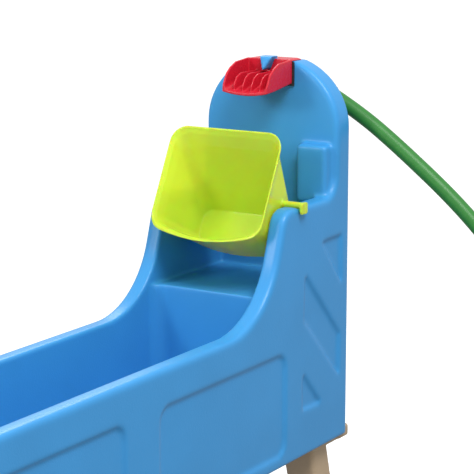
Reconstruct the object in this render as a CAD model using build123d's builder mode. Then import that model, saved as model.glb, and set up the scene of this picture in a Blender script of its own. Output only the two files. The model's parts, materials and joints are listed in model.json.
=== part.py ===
"""Sand and water table: a long moulded basin on four legs, with a hose-fed tower and a tipping bucket.

Millimetres, +Z up, +X from the sand end to the tower, -Y is the near side.
The origin is on the floor, under the middle of the table's own box (the free hose left out).
"""
from build123d import *
from math import cos, pi, radians, sin, tan
import os

os.makedirs("parts", exist_ok=True)

# ---- driving dimensions of the table body
body_width = 250.0
body_length = 1230.0
leg_height = 260.0
rim_height = 240.0
rim_width = 28.0
wall = 4.0
recess_depth = 4.5
edge_round = 8.0
sand_end_round = 32.0

# ---- tower, wings and the deck between them
tower_depth = 45.0
arch_spring = 517.0
arch_rise = 114.0
wing_top = 410.0
wing_reach = 208.3
wing_slope = 72.0
wing_foot_radius = 147.0
wing_shoulder_radius = 30.0
wing_root_radius = 34.0
deck_height = 277.0
deck_reach = 241.0
deck_overrun = 30.0
stop_reach = 22.5
stop_width = 55.0
stop_centre = 87.5
stop_bottom = 400.0
stop_top = 493.0
stop_root = 8.0
stop_corner = 7.0
stop_round = 6.0

# ---- basins
water_end = 905.0
divider = 40.0
basin_floor = 70.0
basin_corner = 24.0
basin_fillet = 12.0
drain_radius = 15.0
drain_inset = 70.0
plug_gap = 0.08
plug_depth = 15.0
plug_flange = 22.0
plug_seal = 2.0
plug_flange_thick = 4.0
plug_tab = (26.0, 14.0, 5.0)

# ---- side panels and truss recesses
panel_width = 350.0
panel_pitch = 435.0
panel_first = 205.0
panel_bottom = 18.0
panel_top = 185.0
end_panel_width = 105.0
panel_corner = 24.0

# ---- legs and braces
leg_inset = 58.0
leg_centre_y = 74.0
leg_lug = 22.0
lug_rise = 10.0
flange_thick = 10.0
flange_size = (100.0, 84.0)
flange_corner = 10.0
pad_size = (104.0, 92.0)
leg_depth = 56.0
leg_top_width = 60.0
foot_width = 46.0
foot_splay = 48.0
leg_corner = 8.0
brace_thick = 16.0
brace_low = 92.0
brace_tall = 46.0
brace_half = 118.0
brace_corner = 4.0
brace_screws_at = ((93.0, 104.0), (107.0, 126.0))
pad_thick = 14.0
washer_thick = 1.5
washer_radius = 7.0
leg_screw_step = 41.0
lug_centre = 89.0
lug_width = 58.0
lug_overlap = 20.0
lug_gap = 0.3

# ---- screws and the holes they cut
screw_radius = 2.4
fit_gap = 0.05
pilot_depth = 25.0
head_overlap = 0.5
shank_grip = 6.0
pocket_radius = 5.2
pocket_depth = 8.0

# ---- hose inlet behind the tower
inlet_height = 597.0
inlet_reach = 38.0
inlet_slope = 26.4
flange_radius = 24.0
flange_screws = 18.0
stub_radius = 12.0
nut_radius = 19.0
pipe_radius = 6.0
pipe_bore = 4.5
boss_radius = 12.0
inlet_seal = 2.0
flange_plate = 5.0
collar_radius = 13.9
thread_bore = 14.3
spigot_end = 30.0
spigot_collar = (24.0, 28.0)
spigot_bore = 7.5
nut_start = 20.0
nut_end = 50.0
nut_lip = 3.5
nut_lip_gap = 0.4
coupling_radius = 16.0
coupling_bore = 8.0
coupling_start = 33.0
coupling_step = 52.0
grip_count = 14
grip_radius = 1.7
grip_offset = 0.6

# ---- tipping bucket, in its own frame: x to the back, height along its opening's normal
bucket_tilt = 63.4
pivot_back = 163.0
axle_radius = 5.5
axle_reach = 133.0
hook_corner = 4.0
hook_thick = 5.5
hook_half = 9.5
hook_drop = 13.0
saddle_gap = 0.3
saddle_depth = 3.0
bucket_wall = 3.0
bucket_rim = 62.7
bucket_bottom = -62.0
bucket_front = -67.0
bucket_back = 89.5
foot_front = -66.0
foot_back = -6.0
bucket_half = 97.0
foot_half = 87.0
lip_bulge = 18.0
foot_bulge = 12.0
bucket_corner = 22.0
rim_lip = 5.8
rim_thick = 3.0

# ---- spout
spout_half = 42.0
spout_wall = 3.5
spout_seal = 3.0
fin_pitch = 16.0
fin_thick = 2.5
fin_top = 607.0
key_gap = 0.3
spout_screw_y = 16.0
spout_screw_height = 600.0
spout_back_top = 626.7
spout_cap_low = 623.7
spout_cap_half = 41.0
spout_cap_reach = 29.0
spout_floor_round = 7.0
spout_gasket_side = 2.5
key_half = 12.0
key_reach = 18.0
key_tip_reach = 29.0
key_tip_half = 1.5
key_root = 4.0
key_bottom = 608.0
crown = 623.5
crown_half = 44.0
crown_fill = 11.0
crown_cut = 20.0

# ---- garden hose
hose_diameter = 25.0
hose_wall = 3.0
hose_start = 62.0
exit_run = 46.0
bend_share = 0.45
coil_clear = 1.6
inner_turn = 112.0
outer_turn = 138.0
tail_turn = 166.5
tail_angle = 72.0
coil_centre = (373.0, -384.0)
stub_run = 45.0
tail_rise = 5.0
tail_height = 16.2
tie_angles = (30, 150)
tie_width = 20.0
ferrule_bore = 12.6
near_ferrule = (16.0, 15.0)
far_ferrule = (2.0, 32.0, 15.5)
tap_start = 34.0
tap_seat = 46.0
tap_ring = (40.0, 66.0, 18.5, 13.3)
hose_route = [
    (635.5, -173.5, 753),
    (635.5, -330, 631),
    (635.5, -426, 516),
    (628, -478, 386),
    (604, -496, 250),
    (554, -496, 130),
    (458, -496, 46),
]

# ---- places worked out from the driving dimensions
half = body_width / 2
inner_half = half - rim_width
skin = wall + recess_depth
table_span = leg_lug + body_length + inlet_reach + nut_radius
rear = table_span / 2 - inlet_reach - nut_radius
front = rear - body_length
base = leg_height
tower_face = rear - tower_depth
water_x = (rear - water_end, rear - deck_reach)
sand_x = (front + rim_width, rear - water_end - divider)
drains = (water_x[0] + drain_inset, sand_x[1] - drain_inset)
leg_x = (front + leg_inset, rear - leg_inset)
leg_places = [(x, y) for x in leg_x for y in (-leg_centre_y, leg_centre_y)]
side_view = Plane(origin=(0, 0, 0), x_dir=(1, 0, 0), z_dir=(0, -1, 0))
pivot = Vector(rear - pivot_back, 0, base + wing_top + axle_radius + saddle_gap - saddle_depth)
tilt = radians(bucket_tilt)
bucket_plane = Plane(origin=pivot, x_dir=(cos(tilt), 0, sin(tilt)), z_dir=(-sin(tilt), 0, cos(tilt)))
inlet = Vector(rear + inlet_reach, 0, base + inlet_height)
slope = radians(inlet_slope)
outlet = Plane(origin=inlet, x_dir=(1, 0, 0), z_dir=(0, -cos(slope), -sin(slope)))
back_face = Plane(origin=(rear, 0, inlet.Z), x_dir=(0, 1, 0), z_dir=(1, 0, 0))
spout_face = Plane(origin=(tower_face, 0, base), x_dir=(0, 1, 0), z_dir=(1, 0, 0))
hose_radius = hose_diameter / 2


def save(name, part):
    """Label a finished piece and write its STEP file."""
    part.label = name
    export_step(part, f"parts/{name}.step")


def turned(plane, steps):
    """Stack of plain rings along a plane's normal: (start, end, outer radius, inner radius)."""
    with BuildPart() as stack:
        for start, end, outer_radius, inner_radius in steps:
            with BuildSketch(plane.offset(start)):
                Circle(outer_radius)
                if inner_radius:
                    Circle(inner_radius, mode=Mode.SUBTRACT)
            extrude(amount=end - start)
    return stack.part


# ---- table body: one hollow moulding with the trough, the wings and the tower
def side_outline(inset):
    """Top line of the side profile: rim, wing and the tower's front, inset from the outer face."""
    top = base + rim_height - inset
    crest = base + wing_top - inset
    rise = radians(wing_slope)
    corner_x = rear - wing_reach + inset / sin(rise) - inset / tan(rise)
    knee_x = corner_x - (crest - top) / tan(rise)
    return FilletPolyline(
        (front + inset, top),
        (knee_x, top),
        (corner_x, crest),
        (tower_face + inset, crest),
        (tower_face + inset, base + stop_top),
        radius=[wing_foot_radius + inset, wing_shoulder_radius - inset, wing_root_radius + inset],
    )


def outer_shell(inset):
    """Solid block inside the outer faces, set in by inset."""
    with BuildPart() as shell:
        with BuildSketch(side_view):
            with BuildLine():
                edge = side_outline(inset)
                corners = [(rear - inset, base + stop_top), (rear - inset, base), (front + inset, base)]
                Polyline(edge @ 1, *corners, edge @ 0)
            make_face()
        extrude(amount=half - inset, both=True)
        with BuildSketch(Plane.YZ.offset(tower_face + inset)):
            with BuildLine():
                arch_centre = (0, base + arch_spring)
                width = half - inset
                arch = EllipticalCenterArc(arch_centre, width, arch_rise - inset, arc_size=180)
                foot = base + rim_height
                Polyline(arch @ 1, (-width, foot), (width, foot), arch @ 0)
            make_face()
        extrude(amount=tower_depth - 2 * inset)
        fillet(shell.edges().filter_by(Axis.Z).group_by(Axis.X)[0], sand_end_round - inset)
    return shell.part


def basin(ends, grow):
    """Room for one basin, or the same room grown by a wall all round."""
    with BuildPart() as room:
        with BuildSketch(Plane.XY.offset(base + basin_floor - grow)):
            with Locations((sum(ends) / 2, 0)):
                RectangleRounded(ends[1] - ends[0] + 2 * grow, 2 * (inner_half + grow), basin_corner + grow)
        extrude(amount=arch_spring)
        fillet(room.faces().sort_by(Axis.Z)[0].edges(), basin_fillet + grow)
    return room.part


def deck_room(grow):
    """The open space above the deck, between the wings."""
    low = rear - deck_reach - deck_overrun
    high = tower_face + grow
    with BuildPart() as room:
        with BuildSketch(Plane.XY.offset(base + deck_height - grow)):
            with Locations(((low + high) / 2, 0)):
                Rectangle(high - low, 2 * (inner_half + grow))
        extrude(amount=arch_spring)
    return room.part


def hollow():
    """Space between the outer and inner walls, open underneath except at the leg pads."""
    with BuildPart() as space:
        add(outer_shell(skin))
        add(basin(water_x, wall), mode=Mode.SUBTRACT)
        add(basin(sand_x, wall), mode=Mode.SUBTRACT)
        add(deck_room(wall), mode=Mode.SUBTRACT)
        with BuildSketch(Plane.XY.offset(base)):
            with Locations(*leg_places):
                Rectangle(*pad_size)
        extrude(amount=pad_thick, mode=Mode.SUBTRACT)
        with BuildSketch(Plane.XY.offset(base)):
            with Locations(*[(x, 0) for x in drains]):
                Circle(drain_radius + wall)
        extrude(amount=basin_floor, mode=Mode.SUBTRACT)
    return space.part


def tower_stops():
    """Two rounded blocks on the tower's face that stop the bucket when it is level."""
    with BuildPart() as stops:
        with BuildSketch(Plane.XY.offset(base + stop_bottom)):
            middle = tower_face + (stop_root - stop_reach) / 2
            with Locations((middle, -stop_centre), (middle, stop_centre)):
                RectangleRounded(stop_reach + stop_root, stop_width, stop_corner)
        extrude(amount=stop_top - stop_bottom)
        fillet(stops.faces().sort_by(Axis.Z)[-2:].edges(), stop_round)
    return stops.part


def crossing(low, high, front_reach, rear_reach, side):
    """Block across the tower between two heights, from distances in front of and behind its face."""
    with BuildPart() as block:
        with BuildSketch(Plane.XY.offset(base + low)):
            with Locations((tower_face + (rear_reach - front_reach) / 2, 0)):
                Rectangle(front_reach + rear_reach, 2 * side)
        extrude(amount=high - low)
    return block.part


def key_wedge(grow):
    """Wedge of the tower that stands out in the notch at the back of the spout."""
    with BuildPart() as key:
        for height, reach, side in (
            (arch_spring + arch_rise, key_reach, key_half),
            (key_bottom - grow, key_tip_reach, key_tip_half),
        ):
            with BuildSketch(Plane.XY.offset(base + height)):
                with Locations((tower_face + (key_root - reach) / 2, 0)):
                    Rectangle(reach + key_root + 2 * grow, 2 * (side + grow))
        loft()
    return key.part


def panel_places():
    """(middle x, width) of the recessed panels along each side."""
    places = []
    for number in range(2):
        right = rear - panel_first - number * panel_pitch
        places.append((right - panel_width / 2, panel_width))
    end_right = rear - panel_first - 2 * panel_pitch
    places.append((end_right - end_panel_width / 2, end_panel_width))
    return places


def side_recesses(side):
    """Cutter for the panels and the truss recesses of one long side."""
    face = Plane(origin=(0, side * half, 0), x_dir=(1, 0, 0), z_dir=(0, -1, 0))
    truss = [
        [(92, 343), (26, 345), (25, 264)],
        [(146, 300), (29, 179), (30, 108), (147, 223)],
        [(150, 138), (91, 76), (151, 77)],
    ]
    with BuildPart() as cutter:
        with BuildSketch(face):
            for middle, width in panel_places():
                with Locations((middle, base + (panel_bottom + panel_top) / 2)):
                    RectangleRounded(width, panel_top - panel_bottom, panel_corner)
            for corners in truss:
                with BuildLine():
                    Polyline(*[(rear - back, base + up) for back, up in corners], close=True)
                make_face()
        extrude(amount=recess_depth, both=True)
    return cutter.part


def table_body():
    """The whole blue moulding."""
    with BuildPart() as body:
        add(outer_shell(0))
        add(basin(water_x, 0), mode=Mode.SUBTRACT)
        add(basin(sand_x, 0), mode=Mode.SUBTRACT)
        add(deck_room(0), mode=Mode.SUBTRACT)
        long_lines = body.edges().filter_by(lambda e: abs(abs(e.center().Y) - half) < 0.01)
        fillet(long_lines.filter_by(lambda e: e.center().Z > base + 1), edge_round)
        add(hollow(), mode=Mode.SUBTRACT)
        add(side_recesses(-1), mode=Mode.SUBTRACT)
        add(side_recesses(1), mode=Mode.SUBTRACT)
        add(tower_stops())
        add(crossing(crown - crown_fill, crown, -skin, tower_depth - skin, crown_half - 4))
        add(crossing(crown, crown + crown_cut, tower_depth, tower_depth + 1, crown_half), mode=Mode.SUBTRACT)
        add(key_wedge(0))
        add(turned(back_face, [(-tower_depth + 1, -1, boss_radius, 0)]))
        add(turned(back_face, [(-tower_depth, 0, pipe_radius + fit_gap, 0)]), mode=Mode.SUBTRACT)
        for plane in inlet_screw_planes() + spout_screw_planes():
            add(turned(plane, [(-pilot_depth, 0, screw_radius + fit_gap, 0)]), mode=Mode.SUBTRACT)
        for plane in leg_screw_planes():
            add(turned(plane, [(-pilot_depth, 0, screw_radius + fit_gap, 0)]), mode=Mode.SUBTRACT)
        with BuildSketch(Plane.XY.offset(base)):
            with Locations(*[(x, 0) for x in drains]):
                Circle(drain_radius)
        extrude(amount=basin_floor, mode=Mode.SUBTRACT)
        with BuildSketch(side_view):
            with Locations((pivot.X, pivot.Z)):
                Circle(axle_radius + saddle_gap)
        extrude(amount=half, both=True, mode=Mode.SUBTRACT)
    return body.part


# ---- screws
def screws(planes, length, head_radius, head_thick):
    """A set of equal screws: each head stands on its plane, the shank runs down behind it."""
    with BuildPart() as fasteners:
        for plane in planes:
            add(turned(plane, [(-length, head_overlap, screw_radius, 0), (0, head_thick, head_radius, 0)]))
    return fasteners.part


def inlet_screw_planes():
    """Seats of the three screws on the elbow's flange."""
    seat = back_face.offset(inlet_seal + flange_plate)
    angles = [radians(90 + 120 * number) for number in range(3)]
    return [seat.shift_origin(seat.from_local_coords((flange_screws * cos(a), flange_screws * sin(a), 0)))
            for a in angles]


def spout_screw_planes():
    """Seats of the two screws inside the spout, facing out of the tower."""
    seat_x = tower_face - spout_seal - spout_wall
    return [Plane(origin=(seat_x, y, base + spout_screw_height), x_dir=(0, 1, 0), z_dir=(-1, 0, 0))
            for y in (-spout_screw_y, spout_screw_y)]


def leg_screw_planes():
    """Seats of the vertical screws under the leg flanges, two to a leg, facing down."""
    low = base - flange_thick - washer_thick
    places = [(x + step, y) for x, y in leg_places for step in (-leg_screw_step, leg_screw_step)]
    return [Plane(origin=(x, y, low), x_dir=(1, 0, 0), z_dir=(0, 0, -1)) for x, y in places]


def brace_screw_planes():
    """Seats of the screws through the braces, two to a leg, facing the middle of the table."""
    planes = []
    for x, way in ((leg_x[0], 1), (leg_x[1], -1)):
        seat_x = x + way * (leg_depth / 2 + brace_thick)
        for side in (-1, 1):
            for y, z in brace_screws_at:
                planes.append(Plane(origin=(seat_x, side * y, z), x_dir=(0, 1, 0), z_dir=(way, 0, 0)))
    return planes


# ---- spout and its gasket
def spout_slab(start, end, low, high, side):
    """Slab under the tower's arch, between two heights and two offsets from the tower's face."""
    with BuildPart() as slab:
        with BuildSketch(spout_face.offset(start)):
            with Locations((0, arch_spring)):
                Ellipse(half, arch_rise)
            with Locations((0, (low + high) / 2)):
                Rectangle(2 * side, high - low, mode=Mode.INTERSECT)
        extrude(amount=end - start)
    return slab.part


def side_slab(points, reach, y):
    """Slab across the table from (distance in front of the rear, height) corners, centred on y."""
    with BuildPart() as slab:
        with BuildSketch(Plane(origin=(0, y, 0), x_dir=(1, 0, 0), z_dir=(0, -1, 0))):
            with BuildLine():
                Polyline(*[(rear - back, base + up) for back, up in points], close=True)
            make_face()
        extrude(amount=reach, both=True)
    return slab.part


def spout_room(points):
    """Cutter for the tray between the side walls, rounded where its floor meets them."""
    with BuildPart() as room:
        add(side_slab(points, spout_half - spout_wall, 0))
        along = room.edges().filter_by(Axis.Y, reverse=True).group_by(Axis.Z)[0]
        fillet(along, spout_floor_round)
    return room.part


def screw_pocket(plane):
    """Cutter for a screw's hole and for the room round its head."""
    return turned(plane, [(-pilot_depth, 0, screw_radius + fit_gap, 0), (0, pocket_depth, pocket_radius, 0)])


def spout():
    """Red spout: a tray between two side walls, with fins, a notch for the key and a cap on the tower."""
    near = tower_depth + spout_seal
    far = near + spout_wall
    side_line = [(near, 588), (103, 580), (128, 578), (127, 589)]
    side_line += [(117, 607), (105, 616), (89, 623), (near, 626.5)]
    room = [(far, 592), (140, 581.5), (140, 700), (far, 700)]
    fin = [(far - 1, 590), (121, 581.5), (121, 592), (113, 603), (102, fin_top), (far - 1, fin_top)]
    with BuildPart() as part:
        add(side_slab(side_line, spout_half, 0))
        add(spout_room(room), mode=Mode.SUBTRACT)
        add(spout_slab(-spout_seal - spout_wall, -spout_seal, 588, spout_back_top, spout_half))
        add(spout_slab(-spout_seal - 1, spout_cap_reach, spout_cap_low, spout_back_top, spout_cap_half))
        for step in (-1.5, -0.5, 0.5, 1.5):
            add(side_slab(fin, fin_thick / 2, step * fin_pitch))
        add(key_wedge(key_gap), mode=Mode.SUBTRACT)
        add(turned(back_face, [(-70, 0, pipe_radius + fit_gap, 0)]), mode=Mode.SUBTRACT)
        for plane in spout_screw_planes():
            add(screw_pocket(plane), mode=Mode.SUBTRACT)
    return part.part


def spout_gasket():
    """Black gasket between the spout and the tower."""
    with BuildPart() as part:
        add(spout_slab(-spout_seal, 0, 584, crown - 1, spout_half + spout_gasket_side))
        add(key_wedge(key_gap), mode=Mode.SUBTRACT)
        add(turned(back_face, [(-70, 0, pipe_radius + fit_gap, 0)]), mode=Mode.SUBTRACT)
        for plane in spout_screw_planes():
            add(turned(plane, [(-pilot_depth, 0, screw_radius + fit_gap, 0)]), mode=Mode.SUBTRACT)
    return part.part


# ---- legs and braces
def leg(x, side):
    """One splayed leg with its flange under the body and a lug up the body's end."""
    way = 1 if x > 0 else -1
    end = rear if x > 0 else front
    with BuildPart() as part:
        with BuildSketch(Plane.XY.offset(base - flange_thick)):
            with Locations((x, side * leg_centre_y)):
                RectangleRounded(*flange_size, flange_corner)
        extrude(amount=flange_thick)
        with BuildSketch(Plane.XY.offset(base - flange_thick)):
            with Locations((x, side * leg_centre_y)):
                RectangleRounded(leg_depth, leg_top_width, leg_corner)
        with BuildSketch(Plane.XY):
            with Locations((x, side * (leg_centre_y + foot_splay))):
                RectangleRounded(leg_depth, foot_width, leg_corner)
        loft()
        with BuildSketch(Plane.XY.offset(base - flange_thick)):
            with Locations((end + way * (leg_lug - lug_overlap) / 2, side * lug_centre)):
                RectangleRounded(leg_lug + lug_overlap, lug_width, leg_corner)
        extrude(amount=flange_thick)
        with BuildSketch(Plane.XY.offset(base - flange_thick)):
            with Locations((end + way * (leg_lug + lug_gap) / 2, side * lug_centre)):
                RectangleRounded(leg_lug - lug_gap, lug_width, leg_corner)
        extrude(amount=flange_thick + lug_rise)
        for plane in leg_screw_planes() + brace_screw_planes():
            add(turned(plane, [(-leg_depth, 0, screw_radius + fit_gap, 0)]), mode=Mode.SUBTRACT)
    return part.part


def leg_washers():
    """Flat washers under the heads of the leg screws."""
    with BuildPart() as part:
        for plane in leg_screw_planes():
            add(turned(plane, [(-washer_thick, 0, washer_radius, screw_radius + fit_gap)]))
    return part.part


def brace(x):
    """Board across one pair of legs, on their inner faces."""
    way = -1 if x > 0 else 1
    with BuildPart() as part:
        with BuildSketch(Plane.XY.offset(brace_low)):
            with Locations((x + way * (leg_depth + brace_thick) / 2, 0)):
                RectangleRounded(brace_thick, 2 * brace_half, brace_corner)
        extrude(amount=brace_tall)
        for plane in brace_screw_planes():
            add(turned(plane, [(-brace_thick - 1, 0, screw_radius + fit_gap, 0)]), mode=Mode.SUBTRACT)
    return part.part


# ---- hose inlet on the back of the tower
def inlet_gasket():
    """Flat gasket under the elbow's flange."""
    with BuildPart() as part:
        add(turned(back_face, [(0, inlet_seal, flange_radius, pipe_radius + fit_gap)]))
        for plane in inlet_screw_planes():
            add(turned(plane, [(-pilot_depth, 0, screw_radius + fit_gap, 0)]), mode=Mode.SUBTRACT)
    return part.part


def inlet_elbow():
    """Flanged elbow: a pipe through the tower into the spout and a threaded spigot for the hose."""
    tail = -tower_depth - spout_seal - spout_wall
    face = inlet_seal + flange_plate
    with BuildPart() as part:
        add(turned(back_face, [(tail, face, pipe_radius, 0), (inlet_seal, face, flange_radius, 0)]))
        add(turned(back_face, [(face, inlet_reach, stub_radius, 0)]))
        with Locations(inlet):
            Sphere(stub_radius + 1)
        add(turned(outlet, [(0, spigot_end, stub_radius, 0), (*spigot_collar, collar_radius, 0)]))
        add(turned(back_face, [(tail, inlet_reach, pipe_bore, 0)]), mode=Mode.SUBTRACT)
        add(turned(outlet, [(0, spigot_end, spigot_bore, 0)]), mode=Mode.SUBTRACT)
        for plane in inlet_screw_planes():
            add(turned(plane, [(-pilot_depth, 0, screw_radius + fit_gap, 0)]), mode=Mode.SUBTRACT)
    return part.part


def grip_ring(plane, start, end, outer_radius, inner_radius):
    """Nut body with shallow grip grooves down its outside."""
    with BuildPart() as ring:
        with BuildSketch(plane.offset(start)):
            Circle(outer_radius)
            Circle(inner_radius, mode=Mode.SUBTRACT)
            with PolarLocations(outer_radius + grip_offset, grip_count):
                Circle(grip_radius, mode=Mode.SUBTRACT)
        extrude(amount=end - start)
    return ring.part


def inlet_swivel_nut():
    """Free-turning nut that draws the hose coupling onto the spigot."""
    with BuildPart() as part:
        add(grip_ring(outlet, nut_start, nut_end, nut_radius, thread_bore))
        add(turned(outlet, [(nut_start, nut_start + nut_lip, coupling_radius, stub_radius + nut_lip_gap)]))
    return part.part


# ---- garden hose
def corner_radii(points):
    """Arc radius at each inner corner of a run of points, from the shorter run beside it."""
    radii = []
    for before, corner, after in zip(points, points[1:], points[2:]):
        run_in = corner - before
        run_out = after - corner
        turn = radians(run_in.get_angle(run_out))
        radii.append(bend_share * min(run_in.length, run_out.length) / tan(turn / 2))
    return radii


def hose_points():
    """Corners of the hose, from the coupling on the elbow down to the coil."""
    start = outlet.from_local_coords(Vector(0, 0, hose_start))
    leave = outlet.from_local_coords(Vector(0, 0, hose_start + exit_run))
    return [start, leave] + [Vector(*point) for point in hose_route]


def garden_hose():
    """Green tube from the coupling to the coil."""
    points = hose_points()
    radii = corner_radii(points)
    with BuildPart() as part:
        with BuildLine() as path:
            FilletPolyline(*points, radius=radii)
        with BuildSketch(outlet.offset(hose_start)):
            Circle(hose_radius)
            Circle(hose_radius - hose_wall, mode=Mode.SUBTRACT)
        sweep()
    length = sum(edge.length for edge in path.edges())
    section = pi * (hose_radius ** 2 - (hose_radius - hose_wall) ** 2)
    print("hose arc radii", [round(radius, 1) for radius in radii])
    print("hose length", round(length, 1))
    print("hose volume over section x length", part.part.volume / section / length)
    return part.part


def coil_stub():
    """Plane at the hose's lower end, facing on along the hose into the coil."""
    last, end = hose_points()[-2:]
    return Plane(origin=end, x_dir=(0, 1, 0), z_dir=(end - last).normalized())


def coil_tail():
    """Plane where the free end leaves the coil, facing its coupling."""
    angle = radians(-90 - tail_angle)
    rise = radians(tail_rise)
    x = coil_centre[0] + tail_turn * cos(angle)
    y = coil_centre[1] + tail_turn * sin(angle)
    heading = (sin(angle) * cos(rise), -cos(angle) * cos(rise), sin(rise))
    return Plane(origin=(x, y, tail_height), z_dir=heading)


def hose_coil():
    """The hose lying in two turns on the floor, as one closed block, with its two ends."""
    with BuildPart() as part:
        with BuildSketch(Plane.XY.offset(coil_clear)):
            with Locations(coil_centre):
                Circle(outer_turn + hose_radius)
                Circle(inner_turn - hose_radius, mode=Mode.SUBTRACT)
        extrude(amount=hose_diameter)
        with BuildSketch(Plane.XY.offset(coil_clear)):
            with BuildLine():
                near = CenterArc(coil_centre, outer_turn + hose_radius - 0.5, -90 - tail_angle, tail_angle)
                far = CenterArc(coil_centre, tail_turn + hose_radius + 0.6, -90 - tail_angle, tail_angle)
                Line(near @ 0, far @ 0)
                Line(near @ 1, far @ 1)
            make_face()
        extrude(amount=hose_diameter)
        add(turned(coil_stub(), [(0, stub_run, hose_radius, 0)]))
        add(turned(coil_tail(), [(-10, tap_start, hose_radius, 0)]))
    return part.part


def coil_ties():
    """Two flat bands round the coil."""
    with BuildPart() as part:
        for angle in tie_angles:
            outward = Vector(cos(radians(angle)), sin(radians(angle)), 0)
            middle = Vector(*coil_centre) + outward * (inner_turn + outer_turn) / 2
            with BuildSketch(Plane(origin=middle, x_dir=outward, z_dir=(0, 0, 1))):
                RectangleRounded(outer_turn - inner_turn + hose_diameter + 3.4, tie_width, 1.5)
            extrude(amount=hose_diameter + 2 * coil_clear)
        add(hose_coil(), mode=Mode.SUBTRACT)
    return part.part


# ---- tipping bucket
def bucket_block(low, high, inset):
    """The bucket's tapering shape between two heights above its pivot, set in by inset."""
    with BuildPart() as block:
        for height in (low, high):
            up = (height - bucket_bottom) / (bucket_rim - bucket_bottom)
            lip = foot_front + up * (bucket_front - foot_front) + inset
            back = foot_back + up * (bucket_back - foot_back) - inset
            side = foot_half + up * (bucket_half - foot_half) - inset
            bulge = foot_bulge + up * (lip_bulge - foot_bulge)
            with BuildSketch(bucket_plane.offset(height)) as section:
                with BuildLine():
                    ThreePointArc((lip, side), (lip - bulge, 0), (lip, -side))
                    Polyline((lip, -side), (back, -side), (back, side), (lip, side))
                make_face()
                fillet(section.vertices(), bucket_corner - inset)
        loft()
    return block.part


def bucket():
    """Tipping bucket with its rim, its two pivot bars and the hooks outside the wings."""
    across = Plane(origin=pivot, x_dir=(1, 0, 0), z_dir=(0, -1, 0))
    with BuildPart() as part:
        with BuildSketch(across):
            Circle(axle_radius)
        extrude(amount=axle_reach, both=True)
        for side in (-1, 1):
            with BuildSketch(across.offset(side * axle_reach)):
                with Locations((0, (axle_radius - hook_drop) / 2)):
                    RectangleRounded(2 * hook_half, axle_radius + hook_drop, hook_corner)
            extrude(amount=-side * hook_thick)
        add(bucket_block(bucket_bottom, bucket_rim, 0))
        add(bucket_block(bucket_rim - rim_thick, bucket_rim, -rim_lip))
        add(bucket_block(bucket_bottom + bucket_wall, bucket_rim, bucket_wall), mode=Mode.SUBTRACT)
    return part.part


# ---- drain plugs
def drain_plug(x):
    """Plug with a flange and a tab to pull it up by."""
    seat = Plane(origin=(x, 0, base + basin_floor), x_dir=(1, 0, 0), z_dir=(0, 0, 1))
    flange_top = plug_seal + plug_flange_thick
    tab_length, tab_height, tab_thick = plug_tab
    tab_foot = (x, 0, base + basin_floor + flange_top - 1)
    with BuildPart() as part:
        add(turned(seat, [(-plug_depth, plug_seal + 1, drain_radius - plug_gap, 0)]))
        add(turned(seat, [(plug_seal, flange_top, plug_flange, 0)]))
        with BuildSketch(Plane(origin=tab_foot, x_dir=(1, 0, 0), z_dir=(0, -1, 0))):
            with Locations((0, tab_height / 2)):
                SlotOverall(tab_length, tab_height)
        extrude(amount=tab_thick / 2, both=True)
    return part.part


def drain_gasket(x):
    """Ring gasket under a plug's flange."""
    seat = Plane(origin=(x, 0, base + basin_floor), x_dir=(1, 0, 0), z_dir=(0, 0, 1))
    return turned(seat, [(0, plug_seal, plug_flange, drain_radius - plug_gap + 0.02)])


def hose_male_coupling():
    """Male coupling that the swivel nut draws against the elbow's washer."""
    return turned(outlet, [
        (coupling_start, coupling_step, collar_radius, coupling_bore),
        (coupling_step, hose_start, coupling_radius, coupling_bore),
    ])


def hose_ferrules():
    """Crimped sleeves on the hose's two ends: the one at the elbow and the free end's."""
    near_length, near_radius = near_ferrule
    far_start, far_end, far_radius = far_ferrule
    near = turned(outlet, [(hose_start, hose_start + near_length, near_radius, ferrule_bore)])
    far = turned(coil_tail(), [(far_start, far_end, far_radius, ferrule_bore)])
    return near, far


def hose_tap_coupling():
    """Female coupling on the free end of the hose."""
    with BuildPart() as part:
        add(turned(coil_tail(), [(tap_start, tap_seat, coupling_radius, coupling_bore)]))
        add(grip_ring(coil_tail(), *tap_ring))
    return part.part


# ---- build and save every sub-part
save("table_body", table_body())
save("spout", spout())
save("spout_gasket", spout_gasket())
save("spout_screws", screws(spout_screw_planes(), spout_seal + spout_wall + shank_grip, 4.5, 3))
save("leg_tower_near", leg(leg_x[1], -1))
save("leg_tower_far", leg(leg_x[1], 1))
save("leg_sand_near", leg(leg_x[0], -1))
save("leg_sand_far", leg(leg_x[0], 1))
save("leg_screws", screws(leg_screw_planes(), washer_thick + flange_thick + 2 * shank_grip, 5.5, 3.5))
save("leg_washers", leg_washers())
save("brace_tower_end", brace(leg_x[1]))
save("brace_sand_end", brace(leg_x[0]))
save("brace_screws", screws(brace_screw_planes(), brace_thick + 22, 5, 3))
save("inlet_elbow", inlet_elbow())
save("inlet_gasket", inlet_gasket())
save("inlet_screws", screws(inlet_screw_planes(), inlet_seal + flange_plate + shank_grip, 4, 3))
save("inlet_washer", turned(outlet, [(spigot_end, coupling_start, collar_radius, coupling_bore)]))
save("inlet_swivel_nut", inlet_swivel_nut())
save("hose_male_coupling", hose_male_coupling())
near_sleeve, far_sleeve = hose_ferrules()
save("hose_ferrule_near", near_sleeve)
save("hose_ferrule_far", far_sleeve)
save("garden_hose", garden_hose())
save("hose_coil", hose_coil())
save("hose_tap_coupling", hose_tap_coupling())
save("coil_ties", coil_ties())
save("bucket", bucket())
for name, x in (("water_drain", drains[0]), ("sand_drain", drains[1])):
    save(f"{name}_plug", drain_plug(x))
    save(f"{name}_gasket", drain_gasket(x))
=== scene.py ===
"""Sand and water table: the looks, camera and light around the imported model. Metres."""
import json
from math import cos, radians, sin

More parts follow.
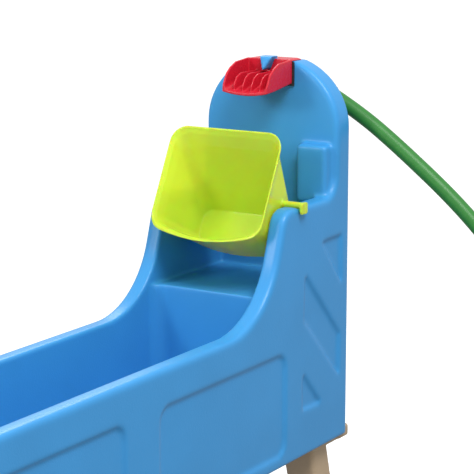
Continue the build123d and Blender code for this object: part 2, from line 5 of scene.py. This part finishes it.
import bmesh
import bpy
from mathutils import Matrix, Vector


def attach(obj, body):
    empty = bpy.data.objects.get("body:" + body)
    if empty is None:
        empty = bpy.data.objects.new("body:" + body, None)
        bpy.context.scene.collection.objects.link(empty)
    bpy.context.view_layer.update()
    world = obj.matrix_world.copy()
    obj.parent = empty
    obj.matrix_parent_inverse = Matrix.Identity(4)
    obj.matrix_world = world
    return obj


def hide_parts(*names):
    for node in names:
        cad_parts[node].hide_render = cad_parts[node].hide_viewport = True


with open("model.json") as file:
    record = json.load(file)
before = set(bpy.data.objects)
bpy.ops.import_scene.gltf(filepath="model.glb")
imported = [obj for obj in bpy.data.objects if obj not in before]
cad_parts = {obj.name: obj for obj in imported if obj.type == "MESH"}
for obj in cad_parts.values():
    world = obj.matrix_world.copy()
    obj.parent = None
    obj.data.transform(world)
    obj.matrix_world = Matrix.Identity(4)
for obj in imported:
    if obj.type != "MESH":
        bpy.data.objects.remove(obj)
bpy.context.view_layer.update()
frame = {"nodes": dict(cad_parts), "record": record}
nodes = frame["nodes"]
scene = bpy.context.scene


# ---- materials
shade_detail, grain_detail, gloss_detail = 3, 2, 4
shade_start, shade_end = 0.3, 0.7


def material(name, colour, roughness):
    """New principled material and its two nodes: (material, tree, shader)."""
    new = bpy.data.materials.new(name)
    new.use_nodes = True
    shader = new.node_tree.nodes["Principled BSDF"]
    shader.inputs["Base Color"].default_value = (*colour, 1)
    shader.inputs["Roughness"].default_value = roughness
    return new, new.node_tree, shader


def add_noise(tree, scale, detail):
    """Noise in object coordinates."""
    place = tree.nodes.new("ShaderNodeTexCoord")
    noise = tree.nodes.new("ShaderNodeTexNoise")
    noise.inputs["Scale"].default_value = scale
    noise.inputs["Detail"].default_value = detail
    tree.links.new(place.outputs["Object"], noise.inputs["Vector"])
    return noise


def add_shade(tree, shader, colour, scale, spread):
    """Soft patches a little darker and lighter than the colour."""
    noise = add_noise(tree, scale, shade_detail)
    ramp = tree.nodes.new("ShaderNodeValToRGB")
    ramp.color_ramp.elements[0].position = shade_start
    ramp.color_ramp.elements[1].position = shade_end
    for element, share in zip(ramp.color_ramp.elements, (1 - spread, 1 + spread)):
        element.color = (*[min(1, part * share) for part in colour], 1)
    tree.links.new(noise.outputs["Fac"], ramp.inputs["Fac"])
    tree.links.new(ramp.outputs["Color"], shader.inputs["Base Color"])


def add_grain(tree, shader, scale, height):
    """Fine grain in the surface."""
    noise = add_noise(tree, scale, grain_detail)
    bump = tree.nodes.new("ShaderNodeBump")
    bump.inputs["Distance"].default_value = height
    bump.inputs["Strength"].default_value = 1
    tree.links.new(noise.outputs["Fac"], bump.inputs["Height"])
    tree.links.new(bump.outputs["Normal"], shader.inputs["Normal"])


def add_gloss(tree, shader, scale, low, high):
    """Roughness that drifts between two values."""
    noise = add_noise(tree, scale, gloss_detail)
    span = tree.nodes.new("ShaderNodeMapRange")
    span.inputs["To Min"].default_value = low
    span.inputs["To Max"].default_value = high
    tree.links.new(noise.outputs["Fac"], span.inputs["Value"])
    tree.links.new(span.outputs["Result"], shader.inputs["Roughness"])


def finish(name, colour, roughness, shade, gloss, grain=None, **settings):
    """Material with shade (scale, spread), gloss (scale, low, high) and grain (scale, height).

    Each setting names a socket of the shader, with underscores for its spaces.
    """
    new, tree, shader = material(name, colour, roughness)
    add_shade(tree, shader, colour, *shade)
    add_gloss(tree, shader, *gloss)
    if grain:
        add_grain(tree, shader, *grain)
    for socket, value in settings.items():
        shader.inputs[socket.replace("_", " ")].default_value = value
    return new


finishes = {
    # rotomoulded polyethylene: satin, with a faint pebble grain
    "blue_plastic": finish(
        "moulded_blue", (0.042, 0.28, 0.62), 0.34,
        shade=(9, 0.035), gloss=(30, 0.28, 0.38), grain=(420, 0.00018),
        Specular_IOR_Level=0.32),
    # gloss injection moulding
    "red_plastic": finish(
        "glossy_red", (0.55, 0.012, 0.03), 0.28,
        shade=(40, 0.04), gloss=(60, 0.22, 0.33), grain=(160, 0.0002),
        Specular_IOR_Level=0.3),
    # translucent moulding that glows where light comes through
    "lime_plastic": finish(
        "clear_lime", (0.76, 0.91, 0.07), 0.16,
        shade=(15, 0.03), gloss=(40, 0.12, 0.2),
        Transmission_Weight=0.35, IOR=1.45, Subsurface_Weight=0.6,
        Subsurface_Scale=0.01, Specular_IOR_Level=0.35),
    # satin moulding
    "tan_plastic": finish(
        "moulded_tan", (0.42, 0.31, 0.20), 0.5,
        shade=(12, 0.05), gloss=(25, 0.45, 0.58), grain=(380, 0.00018)),
    # satin moulding
    "black_plastic": finish(
        "black_moulding", (0.02, 0.02, 0.022), 0.4,
        shade=(60, 0.15), gloss=(50, 0.35, 0.5), grain=(700, 0.0001)),
    # matt rubber
    "black_rubber": finish(
        "black_rubber", (0.016, 0.016, 0.017), 0.7,
        shade=(90, 0.2), gloss=(80, 0.6, 0.8), grain=(900, 0.0001)),
    # satin vinyl
    "green_hose": finish(
        "hose_green", (0.028, 0.185, 0.030), 0.4,
        shade=(70, 0.07), gloss=(120, 0.34, 0.46), grain=(600, 0.0002),
        Specular_IOR_Level=0.35),
    # machined and plated metal, with slight wear in the gloss
    "brass": finish(
        "brass", (0.72, 0.52, 0.22), 0.22,
        shade=(120, 0.06), gloss=(200, 0.22, 0.36), grain=(900, 0.00005), Metallic=1),
    "steel": finish(
        "zinc_steel", (0.62, 0.62, 0.60), 0.25,
        shade=(120, 0.06), gloss=(200, 0.25, 0.4), grain=(900, 0.00005), Metallic=1),
}


# ---- camera
focal_length, sensor_width = 135.83, 36
camera_place = (-1.95193, -1.48265, 1.17435)
camera_view = Vector((0.83404, 0.51534, -0.19699))


def add_camera():
    """Camera at the viewing angle, with no roll and no shift."""
    lens = bpy.data.cameras.new("camera")
    lens.lens = focal_length
    lens.sensor_width = sensor_width
    camera = bpy.data.objects.new("camera", lens)
    camera.location = camera_place
    camera.rotation_euler = camera_view.to_track_quat("-Z", "Y").to_euler()
    scene.collection.objects.link(camera)
    scene.camera = camera


# ---- hose
hose_diameter = 0.025
inlet = Vector((0.6355, 0, 0.857))
inlet_slope = radians(26.4)
outlet = Vector((0, -cos(inlet_slope), -sin(inlet_slope)))
hose_start, straight_end = 0.062, 0.108
hose_route = [
    (0.6355, -0.1735, 0.761),
    (0.6355, -0.330, 0.639),
    (0.6355, -0.426, 0.524),
    (0.628, -0.478, 0.386),
    (0.604, -0.496, 0.250),
    (0.554, -0.496, 0.130),
    (0.482, -0.496, 0.066),
    (0.420, -0.496, 0.037),
]

# The coil's angles are in degrees, and fall as the hose winds on.
coil_centre = Vector((0.373, -0.384, 0))
lying = 0.0016 + hose_diameter / 2
coil_start, coil_end, coil_step = -90, -882, 22
inner_turn, outer_turn, tail_turn = 0.112, 0.138, 0.1665
outer_start, tail_start, change_span = -330, -750, 60
tail_height, tail_slope, tail_length = 0.0162, radians(5), 0.034


def turn_radius(angle):
    """Radius of the coil at an angle: it grows over a short span from one turn to the next."""
    radius = inner_turn
    for start, wider in ((outer_start, outer_turn), (tail_start, tail_turn)):
        share = min(1, max(0, (start - angle) / change_span))
        radius += (wider - radius) * share
    return radius


def coil_points():
    """Points of the coil's turns, and of the free end that rises a little into its coupling."""
    # The smooth line runs a little inside its points, so they stand further out.
    grow = 1 / (0.75 + 0.25 * cos(radians(coil_step)))
    points = []
    angle = coil_start
    while angle > coil_end + coil_step / 2:
        reach = turn_radius(angle) * grow
        turn = radians(angle)
        points.append(coil_centre + Vector((reach * cos(turn), reach * sin(turn), lying)))
        angle -= coil_step
    end = radians(coil_end)
    start = coil_centre + Vector((tail_turn * cos(end), tail_turn * sin(end), tail_height))
    level = cos(tail_slope)
    heading = Vector((sin(end) * level, -cos(end) * level, sin(tail_slope)))
    return points + [start, start + tail_length * heading]


def garden_hose():
    """The hose as one smooth line, from the coupling on the elbow to the coupling for the tap."""
    points = [inlet + hose_start * outlet, inlet + straight_end * outlet]
    points += [Vector(point) for point in hose_route] + coil_points()
    curve = bpy.data.curves.new("hose_tube", "CURVE")
    curve.dimensions = "3D"
    spline = curve.splines.new("NURBS")
    spline.points.add(len(points) - 1)
    for place, point in zip(spline.points, points):
        place.co = (*point, 1)
    spline.order_u = 3
    spline.use_endpoint_u = True
    spline.resolution_u = 10
    curve.bevel_depth = hose_diameter / 2
    curve.bevel_resolution = 8
    curve.use_fill_caps = True
    curve.materials.append(finishes["green_hose"])
    hose = bpy.data.objects.new("hose_tube", curve)
    scene.collection.objects.link(hose)
    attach(hose, "table")
    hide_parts("garden_hose", "hose_coil")


# ---- pieces
def softened(node, name, body, slot, voxel, passes):
    """A copy of a CAD node in its place, meshed evenly and smoothed so that its edges are round."""
    piece = bpy.data.objects.new(name, nodes[node].data.copy())
    scene.collection.objects.link(piece)
    remesh = piece.modifiers.new("remesh", "REMESH")
    remesh.mode = "VOXEL"
    remesh.voxel_size = voxel
    smooth = piece.modifiers.new("smooth", "SMOOTH")
    smooth.factor = 0.5
    smooth.iterations = passes
    seen = piece.evaluated_get(bpy.context.evaluated_depsgraph_get())
    mesh = bpy.data.meshes.new_from_object(seen)
    piece.modifiers.clear()
    piece.data = mesh
    mesh.materials.clear()
    mesh.materials.append(finishes[slot])
    mesh.shade_smooth()
    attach(piece, body)
    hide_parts(node)
    return piece


def eased(share):
    """Smooth step from 0 to 1."""
    share = min(1, max(0, share))
    return share * share * (3 - 2 * share)


lip_start, lip_end = 0.506, 0.474
lip_drop, lip_half = 0.005, 0.042


def sag_lip(piece):
    """Let the spout's front lip sag in the middle, as a shallow bowl."""
    for vertex in piece.data.vertices:
        x, y, z = vertex.co
        reach = eased((lip_start - x) / (lip_start - lip_end))
        across = max(0, 1 - (y / lip_half) ** 2)
        vertex.co.z = z - lip_drop * reach * across
    piece.data.update()


# The bucket's own frame: its pivot, the way to its back wall and the way up to its rim. In that
# frame foot and mouth are the outlines of its floor and its rim, whose front bulges in the middle.
pivot = Vector((0.4345, 0, 0.6728))
tilt = radians(63.4)
back_way = Vector((cos(tilt), 0, sin(tilt)))
up_way = Vector((-sin(tilt), 0, cos(tilt)))
bucket_low, bucket_rim = -0.062, 0.0627
foot = {"front": -0.066, "back": -0.006, "half": 0.087, "bulge": 0.012}
mouth = {"front": -0.067, "back": 0.0895, "half": 0.097, "bulge": 0.018}
bucket_corner = 0.022
bucket_wall, rim_lip = 0.003, 0.0058
flare_depth, edge_depth, flare = 0.024, 0.007, 0.0060


def wall_offset(across, along, height):
    """How far a point is outside the outer face of the bucket's walls, and the way out there."""
    up = (height - bucket_low) / (bucket_rim - bucket_low)
    size = {part: foot[part] + up * (mouth[part] - foot[part]) for part in foot}
    front = size["front"] - size["bulge"] * max(0, 1 - (across / size["half"]) ** 2)
    middle = (front + size["back"]) / 2
    half_depth = (size["back"] - front) / 2
    reach = Vector((abs(across) - size["half"], abs(along - middle) - half_depth))
    corner = Vector([max(0, part + bucket_corner) for part in reach])
    way = corner.normalized()
    if across <= 0:
        way.x = -way.x
    if along <= middle:
        way.y = -way.y
    return corner.length - bucket_corner, way


def flare_rim(piece):
    """Flare the bucket's walls out into its rim flange, so that the rim ends in a thin edge."""
    for vertex in piece.data.vertices:
        arm = vertex.co - pivot
        height = arm.dot(up_way)
        below = height - bucket_rim
        if not -flare_depth < below <= bucket_wall:
            continue
        share = (eased(1 + below / flare_depth) + eased(1 + below / edge_depth)) / 2
        outside, way = wall_offset(arm.y, arm.dot(back_way), height)
        hold = min(1, max(0, (rim_lip - outside) / (rim_lip + bucket_wall)))
        push = way * flare * share * hold
        vertex.co.y += push.x
        vertex.co += back_way * push.y
    piece.data.update()


def paint_nodes():
    """Give every CAD node the material of its slot in the record."""
    for row in frame["record"]["subparts"]:
        piece = nodes[row["node"]]
        for place in piece.material_slots:
            place.material = finishes[row["material_slot"]]


def add_pieces():
    """The mouldings, with round edges, and every other piece as the CAD has it."""
    paint_nodes()
    softened("table_body", "table_moulding", "table", "blue_plastic", 0.003, 5)
    sag_lip(softened("spout", "spout_moulding", "table", "red_plastic", 0.0009, 6))
    flare_rim(softened("bucket", "bucket_moulding", "bucket", "lime_plastic", 0.0013, 5))
    for leg in ("leg_tower_near", "leg_tower_far", "leg_sand_near", "leg_sand_far"):
        softened(leg, leg + "_moulding", "table", "tan_plastic", 0.0028, 5)
    for brace in ("brace_tower_end", "brace_sand_end"):
        softened(brace, brace + "_moulding", "table", "tan_plastic", 0.0022, 4)


# ---- floor and light
floor_reach = 60
floor_grey, floor_glow = (0.6, 0.6, 0.6), 0.6
fill_below, fill_above = 0.3, 0.95
lamp_aim = Vector((0.3, 0, 0.55))
# place, size in metres and power in watts
lamps = {
    "top_lamp": ((-0.4, -1.2, 2.6), 1.0, 46),
    "front_lamp": ((-2.2, 1.3, 1.8), 0.7, 26),
    "back_lamp": ((1.6, 1.2, 1.9), 0.8, 9),
}


def add_floor():
    """Plain pale floor, which throws no light back up at the table."""
    mesh = bpy.data.meshes.new("floor")
    grid = bmesh.new()
    bmesh.ops.create_grid(grid, x_segments=1, y_segments=1, size=floor_reach)
    grid.to_mesh(mesh)
    grid.free()
    floor = bpy.data.objects.new("floor", mesh)
    scene.collection.objects.link(floor)
    pale, _, shader = material("floor_pale", floor_grey, 0.8)
    shader.inputs["Emission Color"].default_value = (1, 1, 1, 1)
    shader.inputs["Emission Strength"].default_value = floor_glow
    floor.data.materials.append(pale)
    floor.visible_diffuse = False
    floor.visible_glossy = False


def add_fill():
    """White fill light from all round, which weakens from above to below."""
    world = bpy.data.worlds.new("studio")
    world.use_nodes = True
    tree = world.node_tree
    place = tree.nodes.new("ShaderNodeTexCoord")
    parts = tree.nodes.new("ShaderNodeSeparateXYZ")
    strength = tree.nodes.new("ShaderNodeMapRange")
    strength.inputs["From Min"].default_value = -1
    strength.inputs["To Min"].default_value = fill_below
    strength.inputs["To Max"].default_value = fill_above
    background = tree.nodes["Background"]
    background.inputs["Color"].default_value = (1, 1, 1, 1)
    tree.links.new(place.outputs["Generated"], parts.inputs["Vector"])
    tree.links.new(parts.outputs["Z"], strength.inputs["Value"])
    tree.links.new(strength.outputs["Result"], background.inputs["Strength"])
    scene.world = world


def add_lamps():
    """Soft square lamps aimed at the tower."""
    for name, (place, size, power) in lamps.items():
        lamp = bpy.data.lights.new(name, "AREA")
        lamp.size = size
        lamp.energy = power
        source = bpy.data.objects.new(name, lamp)
        source.location = place
        aim = lamp_aim - Vector(place)
        source.rotation_euler = aim.to_track_quat("-Z", "Y").to_euler()
        scene.collection.objects.link(source)


add_camera()
garden_hose()
add_pieces()
add_floor()
add_fill()
add_lamps()
scene.view_settings.view_transform = "Standard"

bpy.context.view_layer.update()
